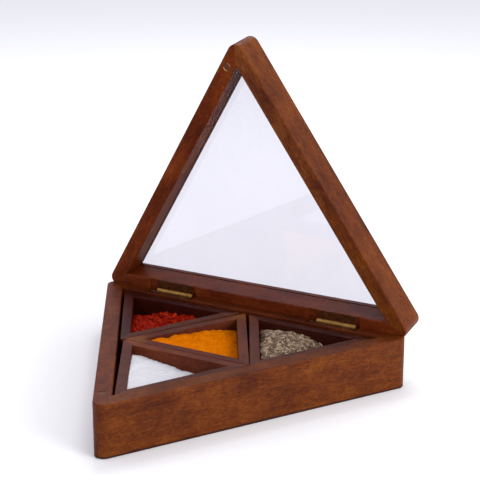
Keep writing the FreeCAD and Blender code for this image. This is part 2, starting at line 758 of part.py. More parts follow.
def make_tray(which, place):
    """One tray: three mitred walls round a bottom, and the heap of spice in it."""
    spice = CONTENTS[which]
    prefix = f"{which}_tray"
    facing = {side: side for side, _, _ in SIDES} if which != "centre" else TURNED_SIDES
    names = {side: f"{prefix}_{facing[side]}_wall" for side in facing}
    bars = side_bars(
        names,
        "Sizes.tray_wall",
        "Derived.tray_height",
        "Sizes.tray_corner",
        TRAY_PLAN,
    )
    top = number("Derived.tray_height")
    floor = number("Sizes.panel_thickness")
    walls = side_placements(TRAY_PLAN)
    for side, body in bars.items():
        soften(body, "Sizes.tray_wall", [0, top], [top], "Sizes.tray_arris")
        name_part(body, names[side], raised(place.multiply(walls[side]), floor))

    bottom = triangle_plate(
        f"{prefix}_bottom", "Sizes.tray_wall", "Sizes.tray_floor", TRAY_PLAN
    )
    name_part(bottom, f"{prefix}_bottom", raised(place, floor))

    heap_name = f"{spice}_heap"
    ends = [f"Sizes.{spice}_left", f"Sizes.{spice}_right"]
    if which == "centre":
        ends.reverse()  # this tray is turned half round
    level = "(Sizes.panel_thickness + Sizes.tray_floor)"
    ends = [f"({end} - {level})" for end in ends]
    tallest = f"max({ends[0]}; {ends[1]})"
    heap = triangle_plate(heap_name, "Sizes.tray_wall", tallest, TRAY_PLAN)
    half = "(Sizes.tray_width / 2 - Sizes.tray_wall * Derived.tray_cot)"
    slope = sketch_on(heap, "XZ_Plane", heap_name + "_slope", "0 - Sizes.box_depth / 2")
    reach = f"{half} + {MARGIN}"
    # past both ends of the heap the slope runs on in line
    grade = f"({ends[1]} - {ends[0]}) / (2 * {half})"
    polygon(
        slope,
        [
            (f"0 - ({reach})", f"{ends[0]} - {grade} * {MARGIN}"),
            (reach, f"{ends[1]} + {grade} * {MARGIN}"),
            (reach, f"{tallest} + {HEAP_CUT_TOP}"),
            (f"0 - ({reach})", f"{tallest} + {HEAP_CUT_TOP}"),
        ],
    )
    pocket(heap, slope, "Sizes.box_depth")
    name_part(heap, heap_name, raised(place, number(level)))


def check(document):
    """Every object computed, every cut removed something, every piece a valid solid."""
    for thing in document.Objects:
        states = set(thing.State)
        if states & {"Invalid", "Error"}:
            raise RuntimeError(f"{thing.Name} failed: {thing.State}")
    for before, feature in cuts:
        if not feature.Shape.Volume < before.Shape.Volume - 1e-3:
            raise RuntimeError(f"{feature.Name} cuts nothing")
    for piece in parts:
        if piece.Shape.isNull() or not piece.Shape.isValid() or not piece.Shape.Solids:
            raise RuntimeError(f"{piece.Label} is not a valid solid")


make_base()
make_lid()
make_hinges()
make_magnets()
for tray, where in tray_places().items():
    make_tray(tray, where)
doc.recompute()
check(doc)

os.makedirs("parts", exist_ok=True)
for piece in parts:
    piece.Shape.exportStep(os.path.join("parts", piece.Label + ".step"))
print(len(parts), "pieces written")
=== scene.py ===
"""Looks of the triangular spice box: wood, glass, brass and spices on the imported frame, with
floor, light and camera."""

import json
import math

import bmesh
import bpy
import numpy as np
from mathutils import Matrix, Vector, noise


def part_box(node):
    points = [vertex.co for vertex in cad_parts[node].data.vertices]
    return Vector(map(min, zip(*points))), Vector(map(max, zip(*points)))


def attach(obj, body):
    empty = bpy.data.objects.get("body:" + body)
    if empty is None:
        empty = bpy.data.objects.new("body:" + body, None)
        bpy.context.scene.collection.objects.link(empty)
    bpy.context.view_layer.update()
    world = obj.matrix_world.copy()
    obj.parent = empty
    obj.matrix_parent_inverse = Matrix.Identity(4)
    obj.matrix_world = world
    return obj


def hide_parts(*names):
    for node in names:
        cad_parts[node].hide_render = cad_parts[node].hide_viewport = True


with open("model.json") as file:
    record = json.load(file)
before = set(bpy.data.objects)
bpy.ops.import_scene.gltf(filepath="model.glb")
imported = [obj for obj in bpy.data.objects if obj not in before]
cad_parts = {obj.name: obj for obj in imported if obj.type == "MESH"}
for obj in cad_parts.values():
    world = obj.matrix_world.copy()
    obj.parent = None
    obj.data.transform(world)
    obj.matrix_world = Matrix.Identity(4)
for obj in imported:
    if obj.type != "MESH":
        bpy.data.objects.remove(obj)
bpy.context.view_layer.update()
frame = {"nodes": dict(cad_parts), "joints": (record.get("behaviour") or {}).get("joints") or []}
NODES = frame["nodes"]
MM = 0.001

# ---------------------------------------------------------------- shader node helpers


def feed(tree, socket, value):
    """Links value to socket if it is a socket, and otherwise stores it there."""
    if isinstance(value, bpy.types.NodeSocket):
        tree.links.new(value, socket)
    else:
        socket.default_value = value


def add(tree, kind, inputs=(), **settings):
    """A new shader node with its settings and inputs."""
    node = tree.nodes.new("ShaderNode" + kind)
    for key, value in settings.items():
        setattr(node, key, value)
    for key, value in dict(inputs).items():
        feed(tree, node.inputs[key], value)
    return node


def calc(tree, operation, *values, clamp=False):
    """The result of a Math node."""
    node = add(tree, "Math", operation=operation, use_clamp=clamp)
    for socket, value in zip(node.inputs, values):
        feed(tree, socket, value)
    return node.outputs[0]


def blend_colours(tree, factor, first, second):
    """The result of a colour Mix node."""
    node = add(tree, "Mix", data_type="RGBA", blend_type="MIX")
    feed(tree, node.inputs[0], factor)
    feed(tree, node.inputs[6], first)
    feed(tree, node.inputs[7], second)
    return node.outputs[2]


def remap(tree, value, low, high, to_low=0.0, to_high=1.0):
    """value moved smoothly from low..high to to_low..to_high, and held there."""
    node = add(tree, "MapRange", interpolation_type="SMOOTHSTEP")
    for socket, given in zip(node.inputs, (value, low, high, to_low, to_high)):
        feed(tree, socket, given)
    return node.outputs[0]


def ramp(tree, value, stops):
    """The colour of value on a ramp of (position, colour) stops."""
    node = add(tree, "ValToRGB", {"Fac": value})
    band = node.color_ramp.elements
    while len(band) < len(stops):
        band.new(0.5)
    for element, (position, colour) in zip(band, stops):
        element.position = position
        element.color = (*colour, 1.0)
    return node.outputs[0]


def scaled(tree, vector, factors):
    """vector times factors, one for each axis."""
    node = add(tree, "VectorMath", operation="MULTIPLY")
    feed(tree, node.inputs[0], vector)
    node.inputs[1].default_value = factors
    return node.outputs[0]


def grain(tree, vector, scale, detail, roughness, distortion=0.0):
    """Noise from 0 to 1."""
    sockets = {"Vector": vector, "Scale": scale, "Detail": detail, "Roughness": roughness}
    return add(tree, "TexNoise", {**sockets, "Distortion": distortion}).outputs[0]


def hypotenuse(tree, first, second):
    """The length of the hypotenuse over two sides."""
    squares = [calc(tree, "POWER", leg, 2.0) for leg in (first, second)]
    return calc(tree, "SQRT", calc(tree, "ADD", *squares))


def bump(tree, height, distance, strength):
    """A normal raised by height, with distance in metres."""
    return add(tree, "Bump", {"Height": height, "Distance": distance, "Strength": strength}).outputs[0]


def new_material(name, **sockets):
    """A material with one Principled shader, and that shader's constant sockets set."""
    material = bpy.data.materials.new(name)
    material.use_nodes = True
    tree = material.node_tree
    tree.nodes.clear()
    shader = add(tree, "BsdfPrincipled")
    output = add(tree, "OutputMaterial")
    tree.links.new(shader.outputs[0], output.inputs[0])
    for key, value in sockets.items():
        shader.inputs[key.replace("_", " ")].default_value = value
    return material, tree, shader


def object_place(tree):
    """The place in the row frame at rest, in metres."""
    return add(tree, "TexCoord").outputs["Object"]


def edge_wear(tree, radius):
    """1 on an edge and 0 on flat ground, from a rounded normal."""
    rounded = add(tree, "Bevel", {"Radius": radius}, samples=6).outputs[0]
    flat = add(tree, "NewGeometry").outputs["Normal"]
    dot = add(tree, "VectorMath", operation="DOT_PRODUCT")
    tree.links.new(rounded, dot.inputs[0])
    tree.links.new(flat, dot.inputs[1])
    return calc(tree, "SUBTRACT", 1.0, dot.outputs["Value"], clamp=True)


def dress(node_name, material):
    """The CAD node shows this material."""
    mesh = NODES[node_name].data
    mesh.materials.clear()
    mesh.materials.append(material)


# ---------------------------------------------------------------- boards and their grain

# the plan triangles of the box and of its equilateral trays, before their corners are rounded
BOX_HALF_WIDTH = 0.130
BOX_DEPTH = 0.211
TRAY_HALF_WIDTH = 0.0505


def triangle_sides(half_width, depth):
    """Each side's outward direction in plan, and the mitre's slope at the two ends of its board."""
    half_apex = math.atan2(half_width, depth)
    back_cot = (half_width + math.hypot(half_width, depth)) / depth
    front_cot = 1 / math.tan(half_apex)
    left = Vector((-math.cos(half_apex), -math.sin(half_apex), 0))
    right = Vector((math.cos(half_apex), -math.sin(half_apex), 0))
    return {
        "back": (Vector((0, 1, 0)), (back_cot, back_cot)),
        "left": (left, (back_cot, front_cot)),
        "right": (right, (front_cot, back_cot)),
    }


BOX_SIDES = triangle_sides(BOX_HALF_WIDTH, BOX_DEPTH)
TRAY_SIDES = triangle_sides(TRAY_HALF_WIDTH, TRAY_HALF_WIDTH * math.sqrt(3))


def board_place(outward, ring):
    """The matrix from a board's own axes, x along it and y outwards, to the row frame."""
    along = outward.cross(Vector((0, 0, 1)))
    turn = Matrix((along, outward, (0, 0, 1))).transposed().to_4x4()
    return ring @ turn


def inner_corners(node_name):
    """The three corners in plan of the space that a spice's CAD solid fills, and its lowest
    level, in mm."""
    points = np.array([v.co for v in NODES[node_name].data.vertices]) / MM
    floor_level = points[:, 2].min()
    plan = points[points[:, 2] < floor_level + 0.01][:, :2]
    middle = plan.mean(axis=0)
    corners = []
    for point in sorted(plan.tolist(), key=lambda p: -math.dist(p, middle)):
        if all(math.dist(point, c) > 10 for c in corners):
            corners.append(point)
    corners = np.array(corners[:3])
    angles = np.arctan2(*(corners - corners.mean(axis=0)).T[::-1])
    return corners[np.argsort(angles)], floor_level


def tray_ring(heap_node, turned):
    """The place of a tray's own axes, from the corners of the heap in it. Its front corner is
    the one furthest forward, or furthest back in a tray that is turned half round."""
    corners, _ = inner_corners(heap_node)
    middle = corners.mean(axis=0)
    pick = np.argmax if turned else np.argmin
    pointing = corners[pick(corners[:, 1])] - middle
    swing = math.atan2(pointing[1], pointing[0]) + math.pi / 2
    return Matrix.Translation((middle[0] * MM, middle[1] * MM, 0)) @ Matrix.Rotation(swing, 4, "Z")


hinge = next(j for j in frame["joints"] if j["name"] == "lid_hinge")
hinge_point = Vector(hinge["pos_m"])
open_turn = Matrix.Rotation(-math.radians(hinge["range_deg"][0]), 4, Vector(hinge["axis"]))
lid_ring = Matrix.Translation(hinge_point) @ open_turn @ Matrix.Translation(-hinge_point)

BASE_TONES = [
    (0.00, (0.022, 0.0046, 0.0012)),
    (0.30, (0.062, 0.0122, 0.0020)),
    (0.52, (0.110, 0.0255, 0.0032)),
    (0.72, (0.156, 0.0430, 0.0055)),
    (1.00, (0.260, 0.1000, 0.0170)),
]
TRAY_TONES = [
    (0.00, (0.014, 0.0030, 0.0012)),
    (0.35, (0.050, 0.0115, 0.0042)),
    (0.60, (0.085, 0.0220, 0.0080)),
    (1.00, (0.160, 0.0520, 0.0200)),
]
GLUE_LINE = (0.012, 0.003, 0.001, 1.0)
TURMERIC_STAIN = (0.33, 0.13, 0.008, 1.0)
# painted shade colour for the bottom edge of the base walls
FOOT_SHADE = (0.020, 0.008, 0.005, 1.0)
COOL_GLOSS = (0.8, 0.8, 1.0, 1.0)
PLAIN_GLOSS = 0.09


def wood(
    name, place, tones, ends=None, seed=0.0,
    gloss=PLAIN_GLOSS, figure=1.0, foot=False, joint=0.35, dust=(),
):
    """Stained and lacquered hardwood whose grain runs along place's x axis. ends are the slopes
    of a mitred board's two ends, and joint how far their glue line is darkened. figure is how
    strong the grain's figure is, foot adds painted shade along the bottom edge where the wall
    meets the floor, and dust is a list of (spot, reach) where turmeric was spilt."""
    material, tree, shader = new_material(name, Specular_IOR_Level=gloss, Specular_Tint=COOL_GLOSS)
    mapping = add(tree, "Mapping", {"Vector": object_place(tree)}, vector_type="TEXTURE")
    mapping.inputs["Location"].default_value = place.translation
    mapping.inputs["Rotation"].default_value = place.to_euler("XYZ")
    board = mapping.outputs[0]
    shifted = add(tree, "VectorMath", operation="ADD")
    tree.links.new(board, shifted.inputs[0])
    shifted.inputs[1].default_value = (seed * 0.37, seed * 0.11, seed * 0.23)
    run = shifted.outputs[0]
    # slow wander of the fibres, so that no streak is dead straight
    along = scaled(tree, run, (1.0, 2.2, 2.2))
    wander = add(tree, "TexNoise", {"Vector": along, "Scale": 22.0, "Detail": 2.0})
    centred = add(tree, "VectorMath", operation="SUBTRACT")
    tree.links.new(wander.outputs[1], centred.inputs[0])
    centred.inputs[1].default_value = (0.5, 0.5, 0.5)
    bent = add(tree, "VectorMath", operation="MULTIPLY_ADD")
    tree.links.new(centred.outputs[0], bent.inputs[0])
    bent.inputs[1].default_value = (0.0, 0.006, 0.006)
    tree.links.new(run, bent.inputs[2])
    fibre_run = bent.outputs[0]
    bands = grain(tree, scaled(tree, fibre_run, (1.0, 6.0, 6.0)), 24.0, 3.0, 0.5)
    streaks = grain(tree, scaled(tree, fibre_run, (1.0, 10.0, 10.0)), 110.0, 4.0, 0.6)
    fibres = grain(tree, scaled(tree, fibre_run, (1.0, 12.0, 12.0)), 320.0, 3.0, 0.6)
    patches = grain(tree, scaled(tree, run, (1.0, 1.6, 1.6)), 26.0, 3.0, 0.6)
    mottles = grain(tree, scaled(tree, run, (1.0, 1.3, 1.3)), 52.0, 3.0, 0.6, 0.4)
    flecks = grain(tree, scaled(tree, run, (1.0, 2.2, 2.2)), 330.0, 2.0, 0.6)
    specks = grain(tree, scaled(tree, run, (1.0, 3.0, 3.0)), 420.0, 2.0, 0.5)
    pores = grain(tree, scaled(tree, fibre_run, (1.0, 20.0, 20.0)), 170.0, 1.0, 0.5)
    pores = remap(tree, pores, 0.60, 0.72)
    layers = ((streaks, 0.55), (fibres, 0.34), (patches, 0.62), (mottles, 0.50), (flecks, 0.46))
    tone = calc(tree, "MULTIPLY_ADD", bands, 0.40 * figure, 0.5 - 0.20 * figure)
    for layer, amount in layers:
        weight = amount * figure
        tone = calc(tree, "MULTIPLY_ADD", layer, weight, calc(tree, "SUBTRACT", tone, 0.5 * weight))
    tone = calc(tree, "MULTIPLY_ADD", pores, -0.20, tone)
    lightened = remap(tree, specks, 0.64, 0.74, 0.0, 0.28)
    tone = calc(tree, "ADD", tone, calc(tree, "MULTIPLY", lightened, figure))
    colour = ramp(tree, tone, tones)
    wear = remap(tree, edge_wear(tree, 0.0009), 0.02, 0.20)
    worn = calc(tree, "MULTIPLY", wear, remap(tree, patches, 0.42, 0.62, 0.10, 0.42))
    rubbed = (*[1.15 * c for c in tones[-1][1]], 1.0)
    colour = blend_colours(tree, worn, colour, rubbed)
    if ends:
        line = mitre_line(tree, board, ends)
        colour = blend_colours(tree, calc(tree, "MULTIPLY", line, joint), colour, GLUE_LINE)
    for spot, reach in dust:
        away = add(tree, "VectorMath", {"Vector": object_place(tree)}, operation="DISTANCE")
        away.inputs[1].default_value = spot
        left_on = remap(tree, away.outputs["Value"], reach * 0.2, reach, 0.30, 0.0)
        dusted = calc(tree, "MULTIPLY", left_on, remap(tree, flecks, 0.35, 0.60, 0.25, 1.0))
        colour = blend_colours(tree, dusted, colour, TURMERIC_STAIN)
    # painted shade along the bottom edge, where the wall meets the floor
    if foot:
        height = add(tree, "SeparateXYZ", {"Vector": board}).outputs[2]
        uneven = calc(tree, "MULTIPLY_ADD", patches, 0.0016, height)
        foot_shade = remap(tree, uneven, 0.0018, 0.0034, 0.85, 0.0)
        colour = blend_colours(tree, foot_shade, colour, FOOT_SHADE)
    tree.links.new(colour, shader.inputs["Base Color"])
    rough = calc(tree, "MULTIPLY_ADD", streaks, 0.22, 0.34)
    tree.links.new(calc(tree, "MULTIPLY_ADD", pores, 0.15, rough), shader.inputs["Roughness"])
    height = calc(tree, "MULTIPLY_ADD", fibres, 0.5, calc(tree, "MULTIPLY", pores, -0.8))
    tree.links.new(bump(tree, height, 0.00012, 0.6), shader.inputs["Normal"])
    return material


def mitre_line(tree, board, ends):
    """1 on the glue line at either end of a mitred board, and 0 along it."""
    split = add(tree, "SeparateXYZ", {"Vector": board})
    x, y = split.outputs[0], split.outputs[1]
    ahead = calc(tree, "GREATER_THAN", x, 0.0)
    plus, minus = ends
    slope = calc(tree, "MULTIPLY_ADD", ahead, plus - minus, minus)
    short = calc(tree, "SUBTRACT", calc(tree, "MULTIPLY", slope, y), calc(tree, "ABSOLUTE", x))
    return remap(tree, short, 0.0002, 0.0009, 1.0, 0.0)


def dress_ring(prefix, part, ring, tones, names, sides, painted_light_by_side, glosses=None, **look):
    """Each board of a mitred triangle gets wood whose grain follows it. Some sides get (red, green,
    blue) factors of the tones, painted light and shade for how light falls on that board, and
    glosses gives some a gloss of their own."""
    glosses = glosses or {}
    for index, (side, name) in enumerate(names.items()):
        label = f"{prefix}_{name}_{part}"
        outward, ends = sides[side]
        # painted light and shade: this board's tones scaled for how light falls on it
        painted_light_factor = painted_light_by_side.get(side, (1.0, 1.0, 1.0))
        shaded = [(stop, tuple(c * k for c, k in zip(tone, painted_light_factor))) for stop, tone in tones]
        gloss = glosses.get(side, look.get("gloss", PLAIN_GLOSS))
        settings = {**look, "gloss": gloss, "seed": len(label) + 3.1 * index}
        dress(label, wood("wood_" + label, board_place(outward, ring), shaded, ends, **settings))


# the boards on a triangle's own sides, standing straight and turned half round
PLAIN = {"back": "back", "left": "left", "right": "right"}
TURNED = {"back": "front", "left": "right", "right": "left"}
# the same stain on every board; each board's tones are scaled as painted light and shade for how
# light falls on it, such as the darkened back boards in the crease under the lid
BASE_PAINTED_LIGHT = {"back": (0.70, 0.50, 0.46), "left": (0.90, 0.72, 0.85), "right": (1.02, 0.98, 0.78)}
LID_PAINTED_LIGHT = {"back": (1.12, 0.72, 0.62), "left": (1.02, 0.74, 0.80), "right": (1.10, 1.08, 1.05)}
LID_GLOSSES = {"back": 0.18, "left": 0.04}
dress_ring("base", "wall", Matrix.Identity(4), BASE_TONES, PLAIN, BOX_SIDES, BASE_PAINTED_LIGHT, foot=True)
dress_ring("lid", "rail", lid_ring, BASE_TONES, PLAIN, BOX_SIDES, LID_PAINTED_LIGHT, LID_GLOSSES, joint=0.12)
TRAYS = {"left": "chilli", "centre": "turmeric", "right": "cumin", "front": "salt"}
# painted light and shade per tray: the rear trays' back walls darkened as the lid's shadow, other
# boards lightened or darkened for how light falls on them
TRAY_PAINTED_LIGHT = {
    "left": {"back": (0.42, 0.18, 0.14), "left": (0.55, 0.30, 0.32)},
    "centre": {"back": (1.2, 0.9, 0.8), "left": (1.6, 1.5, 1.4), "right": (1.35, 1.15, 1.15)},
    "right": {"back": (0.55, 0.35, 0.30), "left": (1.25, 1.15, 1.2)},
    "front": {"back": (1.7, 1.4, 1.1), "left": (0.95, 0.8, 0.9)},
}
# turmeric near its tray's rim: x and y from the tray's middle, and how far it reaches
SPILL_LEVEL = 0.0358
SPILLS = ((0.0, 0.052, 0.014), (-0.043, -0.026, 0.013))
for tray, spice in TRAYS.items():
    turned = tray == "centre"
    names = TURNED if turned else PLAIN
    ring = tray_ring(spice + "_heap", turned)
    middle = ring.translation
    spilt = [((middle.x + x, middle.y + y, SPILL_LEVEL), reach) for x, y, reach in SPILLS]
    look = {"gloss": 0.12, "figure": 0.8, "dust": spilt if turned else ()}
    painted_light_by_side = TRAY_PAINTED_LIGHT[tray]
    dress_ring(tray + "_tray", "wall", ring, TRAY_TONES, names, TRAY_SIDES, painted_light_by_side, **look)
    bottom = f"{tray}_tray_bottom"
    dress(bottom, wood("wood_" + bottom, ring, TRAY_TONES, seed=9.0, figure=0.8))
panel = "base_bottom_panel"
dress(panel, wood("wood_" + panel, Matrix.Identity(4), TRAY_TONES, seed=5.0, figure=0.9))

# ---------------------------------------------------------------- brass, steel and glass


def metal(name, dark, bright, rough):
    """Metal with fine drawn scratches, dull patches and brighter rubbed edges."""
    material, tree, shader = new_material(name, Metallic=1.0)
    place = object_place(tree)
    scratches = grain(tree, place, 900.0, 3.0, 0.6)
    tarnish = grain(tree, place, 240.0, 4.0, 0.6)
    tone = calc(tree, "MULTIPLY_ADD", scratches, 0.35, calc(tree, "MULTIPLY", tarnish, 0.75))
    wear = remap(tree, edge_wear(tree, 0.0004), 0.02, 0.25, 0.0, 0.5)
    tone = calc(tree, "ADD", tone, wear, clamp=True)
    tree.links.new(ramp(tree, tone, [(0.2, dark), (0.85, bright)]), shader.inputs["Base Color"])
    tree.links.new(calc(tree, "MULTIPLY_ADD", tarnish, 0.25, rough), shader.inputs["Roughness"])
    tree.links.new(bump(tree, scratches, 0.00004, 0.5), shader.inputs["Normal"])
    return material


# distances from the hinge's axis: the bare brass ends between the first two, and it begins
# between the other two, measured up and forward
BARREL_EDGE = (0.0023, 0.0027)
PROUD = (0.0015, 0.0021)


def hinge_brass():
    """Brass stained over with the wood, and rubbed bright along the top of the barrel."""
    material, tree, shader = new_material("hinge_brass", Specular_IOR_Level=0.12)
    place = object_place(tree)
    split = add(tree, "SeparateXYZ", {"Vector": place})
    across = calc(tree, "SUBTRACT", split.outputs[1], hinge_point.y)
    above = calc(tree, "SUBTRACT", split.outputs[2], hinge_point.z)
    barrel = remap(tree, hypotenuse(tree, across, above), *BARREL_EDGE, 1.0, 0.0)
    # it is rubbed on the side that faces up and forward
    upward = calc(tree, "MULTIPLY", above, 0.55)
    facing = calc(tree, "SUBTRACT", upward, calc(tree, "MULTIPLY", across, 0.83))
    proud = remap(tree, facing, *PROUD)
    scuffs = grain(tree, scaled(tree, place, (0.3, 2.0, 2.0)), 700.0, 3.0, 0.6)
    scuffed = remap(tree, scuffs, 0.30, 0.50, 0.55, 1.0)
    rubbed = calc(tree, "MULTIPLY", calc(tree, "MULTIPLY", barrel, proud), scuffed)
    bare = ramp(tree, scuffs, [(0.25, (0.22, 0.095, 0.022)), (0.75, (0.46, 0.26, 0.08))])
    stain = grain(tree, place, 500.0, 4.0, 0.6)
    stained = ramp(tree, stain, [(0.3, (0.030, 0.0065, 0.0015)), (0.7, (0.085, 0.022, 0.004))])
    tree.links.new(blend_colours(tree, rubbed, stained, bare), shader.inputs["Base Color"])
    tree.links.new(calc(tree, "MULTIPLY", rubbed, 0.95), shader.inputs["Metallic"])
    tree.links.new(calc(tree, "MULTIPLY_ADD", rubbed, -0.22, 0.55), shader.inputs["Roughness"])
    tree.links.new(bump(tree, scuffs, 0.00004, 0.5), shader.inputs["Normal"])
    return material


brass = hinge_brass()
screw_brass = metal("screw_brass", (0.06, 0.018, 0.005), (0.30, 0.13, 0.035), 0.35)


MAGNET_RIM = (0.0022, 0.0026)  # distances from its middle over which a magnet's rim begins


def magnet_face(node_name, second_axis, bared):
    """A button magnet stained over like the wood, whose face lies along X and second_axis. Bare
    gold is left on parts of its rim, further than bared from its middle line."""
    material, tree, shader = new_material(node_name + "_face", Specular_IOR_Level=0.2)
    low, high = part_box(node_name)
    offset = add(tree, "VectorMath", operation="SUBTRACT")
    tree.links.new(object_place(tree), offset.inputs[0])
    offset.inputs[1].default_value = (low + high) / 2
    split = add(tree, "SeparateXYZ", {"Vector": offset.outputs[0]})
    across, rise = split.outputs["X"], split.outputs[second_axis]
    rim = remap(tree, hypotenuse(tree, across, rise), *MAGNET_RIM)
    slant = calc(tree, "ABSOLUTE", calc(tree, "ADD", across, rise))
    gold = calc(tree, "MULTIPLY", rim, remap(tree, slant, bared, bared + 0.0008))
    place = object_place(tree)
    speckle = grain(tree, place, 900.0, 4.0, 0.6)
    stained = ramp(tree, speckle, [(0.3, (0.045, 0.010, 0.002)), (0.7, (0.120, 0.030, 0.005))])
    bare = ramp(tree, speckle, [(0.3, (0.45, 0.22, 0.06)), (0.7, (0.80, 0.52, 0.22))])
    tree.links.new(blend_colours(tree, gold, stained, bare), shader.inputs["Base Color"])
    tree.links.new(calc(tree, "MULTIPLY", gold, 0.9), shader.inputs["Metallic"])
    tree.links.new(calc(tree, "MULTIPLY_ADD", gold, -0.2, 0.5), shader.inputs["Roughness"])
    tree.links.new(bump(tree, speckle, 0.00005, 0.6), shader.inputs["Normal"])
    return material


for side in ("left", "right"):
    for piece in ("base_leaf", "lid_leaf", "pin"):
        dress(f"hinge_{side}_{piece}", brass)
for name in ("base_hinge_screws", "lid_hinge_screws"):
    dress(name, screw_brass)
dress("base_magnet", magnet_face("base_magnet", "Y", 0.0037))
dress("lid_magnet", magnet_face("lid_magnet", "Z", 0.0026))

# the pane: clear, with faint smears in its tint
glass, tree, shader = new_material("pane_glass", Transmission_Weight=1.0, IOR=1.46, Roughness=0.0)
place = object_place(tree)
smears = grain(tree, scaled(tree, place, (1.0, 1.0, 0.4)), 30.0, 3.0, 0.6, 0.6)
tint = ramp(tree, smears, [(0.2, (0.692, 0.685, 0.728)), (0.8, (0.732, 0.725, 0.768))])
tree.links.new(tint, shader.inputs["Base Color"])
dress("lid_glass_pane", glass)

# ---------------------------------------------------------------- spices


def triangle_lines(corners):
    """The start and the inward direction of each side; the corners run anticlockwise."""
    lines = []
    for index in range(3):
        start, end = corners[index], corners[(index + 1) % 3]
        along = (end - start) / np.linalg.norm(end - start)
        lines.append((start, np.array([-along[1], along[0]])))
    return lines


def inset(corners, margin):
    """The triangle moved inwards by margin on each side."""
    lines = [(inward, inward @ start + margin) for start, inward in triangle_lines(corners)]
    made = []
    for index in range(3):
        (n1, d1), (n2, d2) = lines[index - 1], lines[index]
        made.append(np.linalg.solve(np.array([n1, n2]), np.array([d1, d2])))
    return np.array(made)


def wall_distance(corners, points):
    """How far each point lies inside the triangle's nearest side, in mm."""
    distances = [(points - start) @ inward for start, inward in triangle_lines(corners)]
    return np.min(distances, axis=0)


PLATE_UNIT = 50  # mm, the plate's unit of length
SLACK = 0.02  # lets the plate pass a little off its points, so that it stays smooth


def smooth_surface(control):
    """A thin-plate surface close to (x, y, z) control points, as a function of plan points."""
    control = np.array(control, float)
    centres, levels = control[:, :2] / PLATE_UNIT, control[:, 2]

    def kernel(points):
        r = np.linalg.norm(points[:, None] - centres[None], axis=2)
        return r * r * np.log(r + 1e-9)

    n = len(control)
    flat = np.hstack([np.ones((n, 1)), centres])
    stiff = kernel(centres) + SLACK * np.eye(n)
    system = np.block([[stiff, flat], [flat.T, np.zeros((3, 3))]])
    weights = np.linalg.solve(system, np.concatenate([levels, np.zeros(3)]))

    def level(points):
        points = np.atleast_2d(points) / PLATE_UNIT
        return kernel(points) @ weights[:n] + weights[n] + points @ weights[n + 1:]

    return level


SOFTNESS = 0.9
LACUNARITY = 2.1


def lumps(points, size, octaves, offset):
    """Fractal noise about 0, for plan points in mm."""
    made = []
    for x, y in points:
        spot = Vector((x / size, y / size, offset))
        made.append(noise.fractal(spot, SOFTNESS, LACUNARITY, octaves))
    return np.array(made)


def mesh_piece(name, vertices, faces, material, body, replaced=None, tint=None):
    """A new mesh piece in the row frame from vertices in mm, riding on its body."""
    mesh = bpy.data.meshes.new(name)
    mesh.from_pydata((np.asarray(vertices) * MM).tolist(), [], [list(map(int, f)) for f in faces])
    mesh.validate()
    mesh.polygons.foreach_set("use_smooth", [True] * len(mesh.polygons))
    if tint is not None:
        layer = mesh.attributes.new("tint", "FLOAT", "POINT")
        layer.data.foreach_set("value", np.asarray(tint, np.float32))
    mesh.materials.append(material)
    piece = bpy.data.objects.new(name, mesh)
    bpy.context.scene.collection.objects.link(piece)
    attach(piece, body)
    if replaced:
        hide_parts(replaced)


WALL_GAP = 0.12  # mm, between a powder and the walls of its tray
FLOOR_GAP = 0.05  # mm, between a powder and the floor of its tray


def powder(name, corners, floor_level, level, steps, material, body, node_name):
    """A closed heap of powder that fills the triangle up to its level."""
    shape = inset(corners, WALL_GAP)
    foot = floor_level + FLOOR_GAP
    index, points = {}, []
    for i in range(steps + 1):
        for j in range(steps + 1 - i):
            index[i, j] = len(points)
            points.append((shape[0] * (steps - i - j) + shape[1] * i + shape[2] * j) / steps)
    points = np.array(points)
    top = np.column_stack([points, level(points)])
    faces = []
    for i in range(steps):
        for j in range(steps - i):
            faces.append((index[i, j], index[i + 1, j], index[i, j + 1]))
            if i + j < steps - 1:
                faces.append((index[i + 1, j], index[i + 1, j + 1], index[i, j + 1]))
    rim = [index[i, 0] for i in range(steps)]
    rim += [index[steps - j, j] for j in range(steps)]
    rim += [index[0, steps - j] for j in range(steps)]
    base = len(top)
    under = np.column_stack([points[rim], np.full(len(rim), foot)])
    middle = np.array([[*shape.mean(axis=0), foot]])
    count = len(rim)
    for k in range(count):
        following = (k + 1) % count
        faces.append((rim[k], base + k, base + following, rim[following]))
        faces.append((base + following, base + k, base + count))
    vertices = np.vstack([top, under, middle])
    mesh_piece(name, vertices, faces, material, body, replaced=node_name)


def scatter(template, faces, places, turns, sizes, tints):
    """Copies of one small closed form as one mesh: its vertices, faces and tint values."""
    all_points, all_faces, all_tints = [], [], []
    for place, turn, size, tint in zip(places, turns, sizes, tints):
        base = len(all_points) * len(template)
        all_points.append((template * size) @ turn.T + place)
        all_faces.append(np.asarray(faces) + base)
        all_tints.append(np.full(len(template), tint))
    return np.vstack(all_points), np.vstack(all_faces), np.concatenate(all_tints)


def turn_of(yaw, pitch, roll):
    """The rotation matrix of a piece turned by roll, pitch and yaw."""
    turns = [Matrix.Rotation(a, 3, axis) for a, axis in ((yaw, "Z"), (pitch, "Y"), (roll, "X"))]
    return np.array(turns[0] @ turns[1] @ turns[2])


